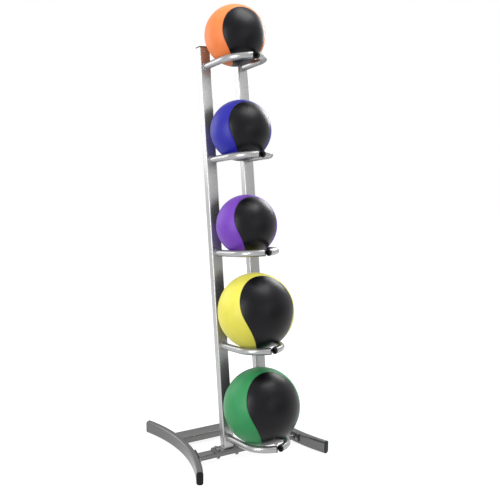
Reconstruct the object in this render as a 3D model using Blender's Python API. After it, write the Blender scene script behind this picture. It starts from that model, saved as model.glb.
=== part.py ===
# Medicine ball rack: two leaning uprights carry five pairs of bent tube arms, each pair cradles
# one two-tone rubber ball, and two bowed feet joined by two crossbars hold it all up.
# Units are metres, +Z is up, the balls face -Y and the feet stand on Z = 0.

import math

import bmesh
import bpy
from mathutils import Matrix, Vector

# Clearance between pieces that touch on the real rack
GAP = 0.0003

# Balls, from the top tier to the bottom one
SMALL_BALL_DIAMETER = 0.225
LARGE_BALL_DIAMETER = 0.280
BALL_SIZES = ("small", "small", "small", "large", "large")
BALL_COLORS = (
    (0.90, 0.22, 0.04),
    (0.03, 0.04, 0.42),
    (0.20, 0.05, 0.50),
    (0.80, 0.72, 0.08),
    (0.03, 0.30, 0.10),
)
# How far each ball has rolled from facing squarely forward, in degrees about X, Y and Z
BALL_TURNS = (
    (4.4, -10.2, -2.8),
    (-0.2, -9.1, -0.8),
    (-5.4, -10.1, 0.3),
    (-8.8, -12.6, 1.3),
    (-8.3, -12.2, 2.5),
)
# The seam is the curve of a tennis ball: the share of its third harmonic sets the neck's width
SEAM_SHARE = 0.325
BALL_CORE_RADIUS = 0.015
BALL_RUNGS = 22
BALL_RUNG_STEPS = 6

# Uprights, rectangular tube
UPRIGHT_WIDTH = 0.043
UPRIGHT_DEPTH = 0.032
UPRIGHT_WALL = 0.002
UPRIGHT_CORNER = 0.005
UPRIGHT_SPACING = 0.157
UPRIGHT_LENGTH = 1.494
UPRIGHT_LEAN = math.radians(8)
TOP_CAP_THICKNESS = 0.003
TOP_CAP_OVERHANG = 0.0025
TOP_CAP_STUB = 0.024
CAP_SCREW_DROP = 0.015
CAP_SCREW_HEAD_DIAMETER = 0.008
CAP_SCREW_HEAD_HEIGHT = 0.0025
CAP_SCREW_SHANK_DIAMETER = 0.003
CAP_SCREW_LENGTH = 0.012

# Arms, round tube bent inwards and set square on the uprights' front faces
ARM_DIAMETER = 0.025
ARM_WALL = 0.002
ARM_STRAIGHT = 0.129
ARM_BEND_RADIUS = 0.106
ARM_BEND = math.radians(65)
ARM_TAIL = 0.009
LOWEST_ARM = 0.0785
TOP_ARM_DROP = 0.0715
ARM_SIDES = 12
ARM_BEND_STEPS = 6
PLUG_RIM = 0.0025
PLUG_DOME = 0.0015
PLUG_STUB = 0.008

# Feet, flat-sided oval tube bowed towards each other
FOOT_HEIGHT = 0.048
FOOT_WIDTH = 0.025
FOOT_WALL = 0.002
FOOT_CORNER = 0.009
FOOT_RADIUS = 0.648
FOOT_WAIST_X = 0.210
FOOT_WAIST_Y = 0.133
FOOT_AHEAD = 0.130
FOOT_BEHIND = 0.367
FOOT_STEPS = 12
FOOT_CAP_THICKNESS = 0.003
FOOT_CAP_EDGE = 0.001
FOOT_CAP_STUB = 0.018

# Crossbars between the feet, rectangular tube lying flat
BAR_WALL = 0.002
BAR_CORNER = 0.004
FRONT_BAR_DEPTH = 0.038
FRONT_BAR_HEIGHT = 0.019
FRONT_BAR_TOP = 0.036
FRONT_BAR_Y = 0.0155
REAR_BAR_DEPTH = 0.062
REAR_BAR_HEIGHT = 0.0265
REAR_BAR_TOP = 0.039
REAR_BAR_Y = 0.201

# Plates under the uprights and at the front crossbar's ends
PLATE_THICKNESS = 0.005
PLATE_DEPTH = 0.044
PLATE_OUTER_REACH = 0.042
PLATE_INNER_REACH = 0.020
PLATE_CORNER = 0.004
FLANGE_THICKNESS = 0.004
FLANGE_DEPTH = 0.070
FLANGE_BOTTOM = 0.010
FLANGE_TOP = 0.044
FLANGE_BOLT_Z = 0.027
FLANGE_BOLT_SPACING = 0.055

# Bolts: across flats, head, washer and shank
PLATE_BOLT = {"flats": 0.013, "head": 0.0055, "washer": 0.016, "sheet": 0.0016, "shank": 0.008}
PLATE_NUT_HEIGHT = 0.0065
PLATE_BOLT_TAIL = 0.0015
PLATE_BOLT_OUTSET = 0.025
PLATE_BOLT_INSET = 0.0095
PLATE_BOLT_SPACING = 0.020
FLANGE_BOLT = {"flats": 0.010, "head": 0.004, "washer": 0.012, "sheet": 0.0012, "shank": 0.006}
FLANGE_BOLT_REACH = 0.008

CORNER_STEPS = 3
HOLE_SIDES = 6

# Sizes worked out from the ones above
arm_radius = ARM_DIAMETER / 2
arm_bore = arm_radius - ARM_WALL
upright_x = UPRIGHT_SPACING / 2
plate_bottom = FRONT_BAR_TOP + GAP
plate_top = plate_bottom + PLATE_THICKNESS
upright_foot = plate_top + GAP
# Heights along the uprights' front plane, from where it meets the floor
upright_start = upright_foot / math.cos(UPRIGHT_LEAN)
top_arm = upright_start + UPRIGHT_LENGTH - TOP_ARM_DROP
tier_pitch = (top_arm - LOWEST_ARM) / (len(BALL_SIZES) - 1)
foot_front_angle = -math.asin((FOOT_AHEAD + FOOT_WAIST_Y) / FOOT_RADIUS)
foot_back_angle = math.asin((FOOT_BEHIND - FOOT_WAIST_Y) / FOOT_RADIUS)

SIDES = (("left", -1), ("right", 1))


def make_material(name, color, metallic, roughness):
    material = bpy.data.materials.new(name)
    material.use_nodes = True
    shader = material.node_tree.nodes["Principled BSDF"]
    shader.inputs["Base Color"].default_value = (*color, 1)
    shader.inputs["Metallic"].default_value = metallic
    shader.inputs["Roughness"].default_value = roughness
    return material


def link_body(name, bm, material, parent, matrix):
    bmesh.ops.recalc_face_normals(bm, faces=bm.faces)
    mesh = bpy.data.meshes.new(name)
    bm.to_mesh(mesh)
    bm.free()
    mesh.shade_smooth()
    mesh.set_sharp_from_angle(angle=math.radians(35))
    body = bpy.data.objects.new(name, mesh)
    bpy.context.collection.objects.link(body)
    if material:
        mesh.materials.append(material)
    body.parent = parent
    body.matrix_basis = matrix
    return body


# A solid is a stack of rings with the same number of points, closed by a face at each end
def solid(name, rings, material, parent, matrix=Matrix()):
    bm = bmesh.new()
    rows = [[bm.verts.new(point) for point in ring] for ring in rings]
    join_rows(bm, rows)
    bm.faces.new(rows[0])
    bm.faces.new(rows[-1])
    return link_body(name, bm, material, parent, matrix)


# A tube is an outer and an inner stack of rings, joined by a flat ring at each end
def tube(name, outer, inner, material, parent, matrix=Matrix()):
    bm = bmesh.new()
    outside = [[bm.verts.new(point) for point in ring] for ring in outer]
    inside = [[bm.verts.new(point) for point in ring] for ring in inner]
    join_rows(bm, outside)
    join_rows(bm, inside)
    join_rows(bm, [outside[0], inside[0]])
    join_rows(bm, [outside[-1], inside[-1]])
    return link_body(name, bm, material, parent, matrix)


def join_rows(bm, rows):
    for lower, upper in zip(rows, rows[1:]):
        for i in range(len(lower)):
            j = (i + 1) % len(lower)
            bm.faces.new((lower[i], lower[j], upper[j], upper[i]))


def circle(radius, sides):
    angles = [math.tau * i / sides for i in range(sides)]
    return [(radius * math.cos(a), radius * math.sin(a)) for a in angles]


def rounded_rectangle(width, height, corner):
    points = []
    for quarter, (sx, sy) in enumerate(((1, 1), (-1, 1), (-1, -1), (1, -1))):
        cx = sx * (width / 2 - corner)
        cy = sy * (height / 2 - corner)
        for step in range(CORNER_STEPS + 1):
            a = math.radians(90) * (quarter + step / CORNER_STEPS)
            points.append((cx + corner * math.cos(a), cy + corner * math.sin(a)))
    return points


# A smaller copy of a rounded rectangle, a wall or a clearance inside the larger one
def inner_rectangle(width, height, corner, wall):
    return rounded_rectangle(width - 2 * wall, height - 2 * wall, max(corner - wall, corner * 0.3))


def at_height(points, z):
    return [(x, y, z) for x, y in points]


# Cylinders along local Z that cut holes with a clearance round a shank
def cut_holes(body, matrices, shank_diameter, length):
    bm = bmesh.new()
    radius = (shank_diameter / 2 + GAP) / math.cos(math.pi / HOLE_SIDES)
    for matrix in matrices:
        points = circle(radius, HOLE_SIDES)
        rows = []
        for z in (-length / 2, length / 2):
            rows.append([bm.verts.new(matrix @ Vector(point)) for point in at_height(points, z)])
        join_rows(bm, rows)
        bm.faces.new(rows[0])
        bm.faces.new(rows[-1])
    cutter = link_body(body.name + "_holes", bm, None, body.parent, body.matrix_basis)
    cutter.hide_render = True
    cutter.display_type = "WIRE"
    boolean = body.modifiers.new("holes", "BOOLEAN")
    boolean.operation = "DIFFERENCE"
    boolean.solver = "EXACT"
    boolean.object = cutter


# A hex bolt along local -Z with its washer; Z = 0 is the face that it clamps
def bolt_rings(size, length, nut_height=0, tail=0):
    hexagon = circle(size["flats"] / 2 / math.cos(math.pi / 6), 6)
    washer = circle(size["washer"] / 2, 6)
    shank = circle(size["shank"] / 2, 6)
    top = GAP + size["sheet"]
    rings = [
        at_height(hexagon, top + size["head"]),
        at_height(hexagon, top),
        at_height(washer, top),
        at_height(washer, GAP),
        at_height(shank, GAP),
    ]
    if nut_height:
        rings += [
            at_height(shank, -length),
            at_height(hexagon, -length),
            at_height(hexagon, -length - nut_height),
            at_height(shank, -length - nut_height),
        ]
    rings.append(at_height(shank, -length - nut_height - tail))
    return rings


# Uprights, their caps and the cap screws

def upright_lean_matrix(x, along):
    face = face_point(along)
    return Matrix.Translation((x, face.y, face.z)) @ Matrix.Rotation(-UPRIGHT_LEAN, 4, "X")


# A point of the uprights' front plane, a distance up from where that plane meets the floor
def face_point(along, forward=0):
    up = Vector((0, math.sin(UPRIGHT_LEAN), math.cos(UPRIGHT_LEAN)))
    ahead = Vector((0, -math.cos(UPRIGHT_LEAN), math.sin(UPRIGHT_LEAN)))
    return up * along + ahead * forward


def make_upright(side, x, root, paint, black, steel):
    place = upright_lean_matrix(x, upright_start)
    outline = rounded_rectangle(UPRIGHT_WIDTH, UPRIGHT_DEPTH, UPRIGHT_CORNER)
    bore = inner_rectangle(UPRIGHT_WIDTH, UPRIGHT_DEPTH, UPRIGHT_CORNER, UPRIGHT_WALL)
    stub = inner_rectangle(UPRIGHT_WIDTH, UPRIGHT_DEPTH, UPRIGHT_CORNER, UPRIGHT_WALL + GAP)
    cover = rounded_rectangle(
        UPRIGHT_WIDTH + 2 * TOP_CAP_OVERHANG,
        UPRIGHT_DEPTH + 2 * TOP_CAP_OVERHANG,
        UPRIGHT_CORNER + TOP_CAP_OVERHANG,
    )
    middle = UPRIGHT_DEPTH / 2
    slope = math.tan(UPRIGHT_LEAN)

    def level_ring(points):
        return [(px, py + middle, (py + middle) * slope) for px, py in points]

    def square_ring(points, z):
        return [(px, py + middle, z) for px, py in points]

    upright = tube(
        "upright_" + side,
        [level_ring(outline), square_ring(outline, UPRIGHT_LENGTH)],
        [level_ring(bore), square_ring(bore, UPRIGHT_LENGTH)],
        paint, root, place,
    )
    seat = UPRIGHT_LENGTH + GAP
    cap = solid(
        "top_cap_" + side,
        [
            square_ring(cover, seat + TOP_CAP_THICKNESS),
            square_ring(cover, seat),
            square_ring(stub, seat),
            square_ring(stub, seat - TOP_CAP_STUB),
        ],
        black, root, place,
    )
    turn = Matrix.Rotation(math.radians(90), 4, "X")
    screw_place = Matrix.Translation((0, 0, UPRIGHT_LENGTH - CAP_SCREW_DROP)) @ turn
    for body in (upright, cap):
        cut_holes(body, [screw_place], CAP_SCREW_SHANK_DIAMETER, 2 * CAP_SCREW_LENGTH + 4 * GAP)
    head = CAP_SCREW_HEAD_DIAMETER / 2
    solid(
        "cap_screw_" + side,
        [
            at_height(circle(head * 0.6, 8), GAP + CAP_SCREW_HEAD_HEIGHT),
            at_height(circle(head, 8), GAP + CAP_SCREW_HEAD_HEIGHT * 0.5),
            at_height(circle(head, 8), GAP),
            at_height(circle(CAP_SCREW_SHANK_DIAMETER / 2, 8), GAP),
            at_height(circle(CAP_SCREW_SHANK_DIAMETER / 2, 8), -CAP_SCREW_LENGTH),
        ],
        steel, root, place @ screw_place,
    )


# Arms and their end plugs

# Centre points and headings of an arm in its own plane: forward is -Y, inwards is +X
def arm_course():
    turn = ARM_BEND / ARM_BEND_STEPS
    heading = 0
    point = Vector((0, -GAP, 0))
    course = [(point.copy(), heading)]
    point.y -= ARM_STRAIGHT
    course.append((point.copy(), heading))
    chord = 2 * ARM_BEND_RADIUS * math.sin(turn / 2)
    for _ in range(ARM_BEND_STEPS):
        middle = heading + turn / 2
        point += chord * Vector((math.sin(middle), -math.cos(middle), 0))
        heading += turn
        course.append((point.copy(), heading))
    point += ARM_TAIL * Vector((math.sin(heading), -math.cos(heading), 0))
    course.append((point.copy(), heading))
    return course


def make_arm(tier, side, sign, along, root, paint, black):
    course = arm_course()
    mirror = -sign
    place = upright_lean_matrix(sign * upright_x, along)

    def arm_rings(radius):
        rings = []
        for point, heading in course:
            across = Vector((math.cos(heading), math.sin(heading), 0))
            ring = []
            for u, w in circle(radius, ARM_SIDES):
                ring.append(point + across * u + Vector((0, 0, w)))
            rings.append(ring)
        return [[(mirror * v.x, v.y, v.z) for v in ring] for ring in rings]

    arm = tube(
        f"arm_{tier}_{side}", arm_rings(arm_radius), arm_rings(arm_bore), paint, root, place
    )
    point, heading = course[-1]
    tip = Matrix.Translation((mirror * point.x, point.y, 0))
    aim = Matrix.Rotation(mirror * heading, 4, "Z") @ Matrix.Rotation(math.radians(90), 4, "X")
    rim = GAP + PLUG_RIM
    solid(
        f"arm_plug_{tier}_{side}",
        [
            at_height(circle(arm_radius * 0.55, ARM_SIDES), rim + PLUG_DOME),
            at_height(circle(arm_radius, ARM_SIDES), rim),
            at_height(circle(arm_radius, ARM_SIDES), GAP),
            at_height(circle(arm_bore - GAP, ARM_SIDES), GAP),
            at_height(circle(arm_bore - GAP, ARM_SIDES), -PLUG_STUB),
        ],
        black, arm, tip @ aim,
    )


# Feet and their end caps

# Centre, tangent angle and outward direction of the foot at an angle along its arc
def foot_station(angle, sign):
    x = FOOT_WAIST_X + FOOT_RADIUS * (1 - math.cos(angle))
    y = FOOT_WAIST_Y + FOOT_RADIUS * math.sin(angle)
    outwards = Vector((sign * math.cos(angle), -math.sin(angle), 0))
    return Vector((sign * x, y, FOOT_HEIGHT / 2)), outwards


# The foot's inner side at a place along Y: the point and the direction square to it
def foot_side(y, sign):
    angle = math.asin((y - FOOT_WAIST_Y) / (FOOT_RADIUS + FOOT_WIDTH / 2))
    centre, outwards = foot_station(angle, sign)
    return centre - outwards * FOOT_WIDTH / 2, outwards


def foot_ring(points, angle, sign, shift=0):
    centre, outwards = foot_station(angle, sign)
    forward = Vector((0, 0, 1)).cross(outwards) * sign
    return [centre + outwards * u + Vector((0, 0, w)) + forward * shift for u, w in points]


def make_foot(side, sign, root, paint, black, steel):
    outline = rounded_rectangle(FOOT_WIDTH, FOOT_HEIGHT, FOOT_CORNER)
    bore = inner_rectangle(FOOT_WIDTH, FOOT_HEIGHT, FOOT_CORNER, FOOT_WALL)
    stub = inner_rectangle(FOOT_WIDTH, FOOT_HEIGHT, FOOT_CORNER, FOOT_WALL + GAP)
    face = inner_rectangle(FOOT_WIDTH, FOOT_HEIGHT, FOOT_CORNER, FOOT_CAP_EDGE)
    step = (foot_back_angle - foot_front_angle) / FOOT_STEPS
    angles = [foot_front_angle + step * i for i in range(FOOT_STEPS + 1)]
    foot = tube(
        "foot_" + side,
        [foot_ring(outline, angle, sign) for angle in angles],
        [foot_ring(bore, angle, sign) for angle in angles],
        paint, root,
    )
    for end, angle, inner_angle in (("front", *angles[:2]), ("back", *angles[:-3:-1])):
        way = -1 if end == "front" else 1
        mouth = foot_ring(stub, angle, sign)
        inner = foot_ring(stub, inner_angle, sign)
        share = FOOT_CAP_STUB / (inner[0] - mouth[0]).length
        solid(
            f"foot_cap_{side}_{end}",
            [
                foot_ring(face, angle, sign, way * (GAP + FOOT_CAP_THICKNESS)),
                foot_ring(outline, angle, sign, way * (GAP + FOOT_CAP_THICKNESS - FOOT_CAP_EDGE)),
                foot_ring(outline, angle, sign, way * GAP),
                foot_ring(stub, angle, sign, way * GAP),
                mouth,
                [a.lerp(b, share) for a, b in zip(mouth, inner)],
            ],
            black, root,
        )
    make_flange(side, sign, foot, root, paint, steel)


# A plate at the front crossbar's end, flat against the foot's inner side and bolted to it
def make_flange(side, sign, foot, root, paint, steel):
    seat, outwards = foot_side(FRONT_BAR_Y, sign)
    turn = math.atan2(outwards.y, outwards.x)
    spot = Vector((seat.x, seat.y, 0)) - outwards * (GAP + FLANGE_THICKNESS)
    # Local Z points at the foot, local X runs along the foot and local Y points up or down
    place = (
        Matrix.Translation(spot)
        @ Matrix.Rotation(turn, 4, "Z")
        @ Matrix.Rotation(math.radians(90), 4, "Y")
    )
    height = FLANGE_TOP - FLANGE_BOTTOM
    centre = (FLANGE_TOP + FLANGE_BOTTOM) / 2
    outline = [(u - centre, w) for u, w in rounded_rectangle(height, FLANGE_DEPTH, PLATE_CORNER)]
    flange = solid(
        "crossbar_flange_" + side,
        [at_height(outline, 0), at_height(outline, FLANGE_THICKNESS)],
        paint, root, place,
    )
    spots = []
    for number, way in enumerate((-1, 1), 1):
        bolt = Matrix.Translation((-FLANGE_BOLT_Z, way * FLANGE_BOLT_SPACING / 2, 0))
        spots.append(bolt)
        solid(
            f"flange_bolt_{side}_{number}",
            bolt_rings(FLANGE_BOLT, FLANGE_THICKNESS + FLANGE_BOLT_REACH),
            steel, root, place @ bolt @ Matrix.Rotation(math.pi, 4, "X"),
        )
    reach = 2 * (FLANGE_THICKNESS + FLANGE_BOLT_REACH) + 4 * GAP
    cut_holes(flange, spots, FLANGE_BOLT["shank"], reach)
    cut_holes(foot, [foot.matrix_basis.inverted() @ place @ spot for spot in spots],
              FLANGE_BOLT["shank"], reach)


# Crossbars, cut at each end to the slant of what they meet

def make_bar(name, depth, height, top, y, end_gap, root, paint):
    outline = rounded_rectangle(depth, height, BAR_CORNER)
    bore = inner_rectangle(depth, height, BAR_CORNER, BAR_WALL)

    def end_ring(points, sign):
        seat, outwards = foot_side(y, sign)
        ring = []
        for u, w in points:
            x = seat.x - (u * outwards.y + end_gap) / outwards.x
            ring.append((x, y + u, top - height / 2 + w))
        return ring

    return tube(
        name,
        [end_ring(outline, -1), end_ring(outline, 1)],
        [end_ring(bore, -1), end_ring(bore, 1)],
        paint, root,
    )


# A plate on the front crossbar under each upright, held by four bolts with nuts below the bar

def plate_bolt_spots(sign):
    outer = upright_x + UPRIGHT_WIDTH / 2 + PLATE_BOLT_OUTSET
    inner = upright_x - UPRIGHT_WIDTH / 2 - PLATE_BOLT_INSET
    spots = []
    for x in (outer, inner):
        for way in (-1, 1):
            spots.append((sign * x, FRONT_BAR_Y + way * PLATE_BOLT_SPACING / 2))
    return spots


def make_base_plate(side, sign, root, paint, steel):
    outer = upright_x + UPRIGHT_WIDTH / 2 + PLATE_OUTER_REACH
    inner = upright_x - UPRIGHT_WIDTH / 2 - PLATE_INNER_REACH
    middle = sign * (outer + inner) / 2
    outline = [
        (x + middle, y + FRONT_BAR_Y)
        for x, y in rounded_rectangle(outer - inner, PLATE_DEPTH, PLATE_CORNER)
    ]
    plate = solid(
        "base_plate_" + side,
        [at_height(outline, plate_bottom), at_height(outline, plate_top)],
        paint, root,
    )
    spots = plate_bolt_spots(sign)
    length = plate_top - FRONT_BAR_TOP + FRONT_BAR_HEIGHT + GAP
    cut_holes(
        plate,
        [Matrix.Translation((x, y, plate_top)) for x, y in spots],
        PLATE_BOLT["shank"], 4 * PLATE_THICKNESS,
    )
    for number, (x, y) in enumerate(spots, 1):
        solid(
            f"plate_bolt_{side}_{number}",
            bolt_rings(PLATE_BOLT, length, PLATE_NUT_HEIGHT, PLATE_BOLT_TAIL),
            steel, root, Matrix.Translation((x, y, plate_top)),
        )


# Balls

# Where a ball comes to rest, as its height along the uprights and its distance in front of them
def ball_rest(radius, along):
    inner_edge = upright_x - UPRIGHT_WIDTH / 2 + UPRIGHT_CORNER
    forward = math.sqrt((radius + UPRIGHT_CORNER + GAP) ** 2 - inner_edge**2) - UPRIGHT_CORNER
    place = upright_lean_matrix(-upright_x, along)
    centres = [place @ point for point, _ in arm_course()]
    low = along
    high = along + radius + ARM_DIAMETER
    for _ in range(40):
        middle = (low + high) / 2
        centre = face_point(middle, forward)
        nearest = min(segment_distance(centre, a, b) for a, b in zip(centres, centres[1:]))
        if nearest < radius + arm_radius + GAP:
            low = middle
        else:
            high = middle
    return face_point(high, forward)


def segment_distance(point, start, end):
    run = end - start
    share = min(1, max(0, (point - start).dot(run) / run.length_squared))
    return (start + run * share - point).length


# The seam's direction from the ball's centre, moved sideways by a small angle into one panel
def seam_point(angle, aside):
    first = 1 - SEAM_SHARE
    depth = 2 * math.sqrt(first * SEAM_SHARE)
    point = Vector((
        first * math.cos(angle) - SEAM_SHARE * math.cos(3 * angle),
        -first * math.sin(angle) - SEAM_SHARE * math.sin(3 * angle),
        -depth * math.cos(2 * angle),
    ))
    along = Vector((
        -first * math.sin(angle) + 3 * SEAM_SHARE * math.sin(3 * angle),
        -first * math.cos(angle) - 3 * SEAM_SHARE * math.cos(3 * angle),
        2 * depth * math.sin(2 * angle),
    ))
    return (point + point.cross(along).normalized() * aside).normalized()


# One of the two interlocking panels, from the ball's face down to a small hollow core.
# Rungs run across the panel between two mirrored points of the seam.
def make_panel(name, radius, start, flip, material, parent):
    side = 1 if start < 0 else -1
    bm = bmesh.new()

    def rung(angle, distance, steps):
        aside = side * GAP / 2 / distance
        near = seam_point(angle, aside)
        far = Vector((near.x * flip[0], near.y * flip[1], near.z))
        if (near - far).length < 1e-5:
            return [bm.verts.new(near * distance)] * (steps + 1)
        spread = near.angle(far)
        row = []
        for step in range(steps + 1):
            a = spread * step / steps
            way = near * math.sin(spread - a) + far * math.sin(a)
            row.append(bm.verts.new(way / math.sin(spread) * distance))
        return row

    angles = [start + math.pi * i / BALL_RUNGS for i in range(BALL_RUNGS + 1)]
    face = [rung(angle, radius, BALL_RUNG_STEPS) for angle in angles]
    core = [rung(angle, BALL_CORE_RADIUS, 1) for angle in angles]
    for rows in (face, core):
        for first, second in zip(rows, rows[1:]):
            for i in range(len(first) - 1):
                add_face(bm, (first[i], first[i + 1], second[i + 1], second[i]))
    for i in range(BALL_RUNGS):
        for edge in (0, -1):
            add_face(bm, (face[i][edge], face[i + 1][edge], core[i + 1][edge], core[i][edge]))
    return link_body(name, bm, material, parent, Matrix())


def add_face(bm, corners):
    different = list(dict.fromkeys(corners))
    bm.faces.new(different)


def make_ball(tier, along, root, black):
    diameter = SMALL_BALL_DIAMETER if BALL_SIZES[tier - 1] == "small" else LARGE_BALL_DIAMETER
    radius = diameter / 2
    centre = bpy.data.objects.new(f"ball_{tier}_centre", None)
    bpy.context.collection.objects.link(centre)
    centre.parent = root
    centre.location = ball_rest(radius, along)
    centre.rotation_euler = [math.radians(turn) for turn in BALL_TURNS[tier - 1]]
    color = make_material(f"ball {tier} rubber", BALL_COLORS[tier - 1], 0, 0.45)
    quarter = math.pi / 2
    make_panel(f"ball_{tier}_black_panel", radius, -quarter, (-1, 1), black, centre)
    make_panel(f"ball_{tier}_color_panel", radius, 0, (1, -1), color, centre)


# The origin goes to the middle of the floor space that the rack and its balls take up
def centre_on_origin(root):
    bpy.context.view_layer.update()
    reach = [
        (body.matrix_world @ vertex.co).y
        for body in bpy.data.objects
        if body.type == "MESH" and not body.hide_render
        for vertex in body.data.vertices
    ]
    root.location.y = -(min(reach) + max(reach)) / 2


def build():
    for old in list(bpy.data.objects):
        bpy.data.objects.remove(old, do_unlink=True)
    paint = make_material("silver paint", (0.42, 0.43, 0.44), 0.8, 0.35)
    steel = make_material("zinc-plated steel", (0.62, 0.62, 0.60), 1.0, 0.3)
    plastic = make_material("black plastic", (0.015, 0.015, 0.015), 0, 0.5)
    rubber = make_material("black rubber", (0.012, 0.012, 0.014), 0, 0.5)

    root = bpy.data.objects.new("rack", None)
    bpy.context.collection.objects.link(root)

    flange_end = 2 * GAP + FLANGE_THICKNESS
    front_bar = make_bar(
        "front_crossbar", FRONT_BAR_DEPTH, FRONT_BAR_HEIGHT, FRONT_BAR_TOP, FRONT_BAR_Y,
        flange_end, root, paint,
    )
    make_bar(
        "rear_crossbar", REAR_BAR_DEPTH, REAR_BAR_HEIGHT, REAR_BAR_TOP, REAR_BAR_Y,
        GAP, root, paint,
    )
    bolt_spots = [spot for _, sign in SIDES for spot in plate_bolt_spots(sign)]
    bar_middle = FRONT_BAR_TOP - FRONT_BAR_HEIGHT / 2
    cut_holes(
        front_bar,
        [Matrix.Translation((x, y, bar_middle)) for x, y in bolt_spots],
        PLATE_BOLT["shank"], 2 * FRONT_BAR_HEIGHT,
    )

    for side, sign in SIDES:
        make_foot(side, sign, root, paint, plastic, steel)
        make_base_plate(side, sign, root, paint, steel)
        make_upright(side, sign * upright_x, root, paint, plastic, steel)

    for tier in range(1, len(BALL_SIZES) + 1):
        along = top_arm - tier_pitch * (tier - 1)
        for side, sign in SIDES:
            make_arm(tier, side, sign, along, root, paint, plastic)
        make_ball(tier, along, root, rubber)

    centre_on_origin(root)


build()
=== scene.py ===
# Medicine ball rack in satin silver paint, with five two-tone rubber balls on bent tube arms.
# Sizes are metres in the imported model's frame: +Z up, the balls face -Y.

import math

import bmesh
import bpy
import numpy as np
from mathutils import Matrix, Vector


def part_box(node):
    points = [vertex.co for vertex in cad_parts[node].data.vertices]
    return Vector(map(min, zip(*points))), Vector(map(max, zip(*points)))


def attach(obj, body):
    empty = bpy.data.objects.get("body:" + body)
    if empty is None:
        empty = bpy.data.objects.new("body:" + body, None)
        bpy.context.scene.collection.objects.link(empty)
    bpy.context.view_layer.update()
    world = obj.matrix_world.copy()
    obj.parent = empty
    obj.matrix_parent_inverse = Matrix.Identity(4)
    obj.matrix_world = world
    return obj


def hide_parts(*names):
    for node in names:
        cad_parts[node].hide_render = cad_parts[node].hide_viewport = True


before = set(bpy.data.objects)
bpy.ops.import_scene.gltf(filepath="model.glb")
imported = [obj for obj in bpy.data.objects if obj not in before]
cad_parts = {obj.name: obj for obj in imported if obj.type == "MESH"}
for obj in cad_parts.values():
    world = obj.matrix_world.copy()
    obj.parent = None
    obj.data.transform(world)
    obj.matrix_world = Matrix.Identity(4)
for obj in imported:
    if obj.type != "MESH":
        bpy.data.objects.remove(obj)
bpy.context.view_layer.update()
print("frame loaded,", len(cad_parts), "nodes")

scene = bpy.context.scene
sides = (("left", -1), ("right", 1))
quarterTurn = math.radians(90)


def hexColor(code):  # sRGB hex to the linear colour that Blender reads
    parts = [int(code[i:i + 2], 16) / 255 for i in (0, 2, 4)]
    return [c / 12.92 if c <= 0.04045 else ((c + 0.055) / 1.055) ** 2.4 for c in parts] + [1]


def addNode(tree, kind, inputs=None, **settings):  # a node with its settings, values and links
    node = tree.nodes.new(kind)
    for key, value in settings.items():
        setattr(node, key, value)
    for socket, value in (inputs or {}).items():
        if isinstance(value, bpy.types.NodeSocket):
            tree.links.new(value, node.inputs[socket])
        else:
            node.inputs[socket].default_value = value
    return node


def newMaterial(name):
    material = bpy.data.materials.new(name)
    material.use_nodes = True
    tree = material.node_tree
    return material, tree, tree.nodes["Principled BSDF"]


def newPiece(name, bm, material, body="frame", replaced=(), sharp=40, wornTurn=0):
    bmesh.ops.recalc_face_normals(bm, faces=bm.faces)
    if wornTurn:  # the attribute rises to 1 where faces turn this many radians, for the paint to wear
        rim = bm.verts.layers.float.new("rim")
        for vert in bm.verts:
            turns = [edge.calc_face_angle(0) for edge in vert.link_edges]
            vert[rim] = min(max(turns) / wornTurn, 1)
    mesh = bpy.data.meshes.new(name)
    bm.to_mesh(mesh)
    bm.free()
    mesh.shade_smooth()
    mesh.set_sharp_from_angle(angle=math.radians(sharp))
    mesh.materials.append(material)
    piece = bpy.data.objects.new(name, mesh)
    scene.collection.objects.link(piece)
    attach(piece, body)
    if replaced:
        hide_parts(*replaced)
    return piece


def stack(bm, rings, matrix=Matrix()):  # rings of points joined to a closed body
    rows = [[bm.verts.new(matrix @ Vector(point)) for point in ring] for ring in rings]
    for lower, upper in zip(rows, rows[1:]):
        for i in range(len(lower)):
            j = (i + 1) % len(lower)
            bm.faces.new((lower[i], lower[j], upper[j], upper[i]))
    bm.faces.new(rows[0])
    bm.faces.new(rows[-1])


def roundedOutline(width, height, corner, steps=8):  # a rectangle with round corners
    points = []
    for quarter, (sx, sy) in enumerate(((1, 1), (-1, 1), (-1, -1), (1, -1))):
        for step in range(steps + 1):
            a = quarterTurn * (quarter + step / steps)
            points.append((
                sx * (width / 2 - corner) + corner * math.cos(a),
                sy * (height / 2 - corner) + corner * math.sin(a),
            ))
    return points


def circleOutline(radius, count=40):  # a round section
    angles = [math.tau * i / count for i in range(count)]
    return [(radius * math.cos(a), radius * math.sin(a)) for a in angles]


paintLook = {
    "light": "aeaeae", "dark": "a1a1a2", "worn": "bcbcbb",
    "roughLow": 0.26, "roughHigh": 0.30, "metal": 0.8,
    "flakeMm": 1.4,  # real flake is near 0.05 mm, drawn coarser so that it shows
    "peelMm": 5.0, "peelStrength": 0.006, "peelDepth": 0.0006, "handlingMm": 71.43, "wearMm": 4.167,
}


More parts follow.
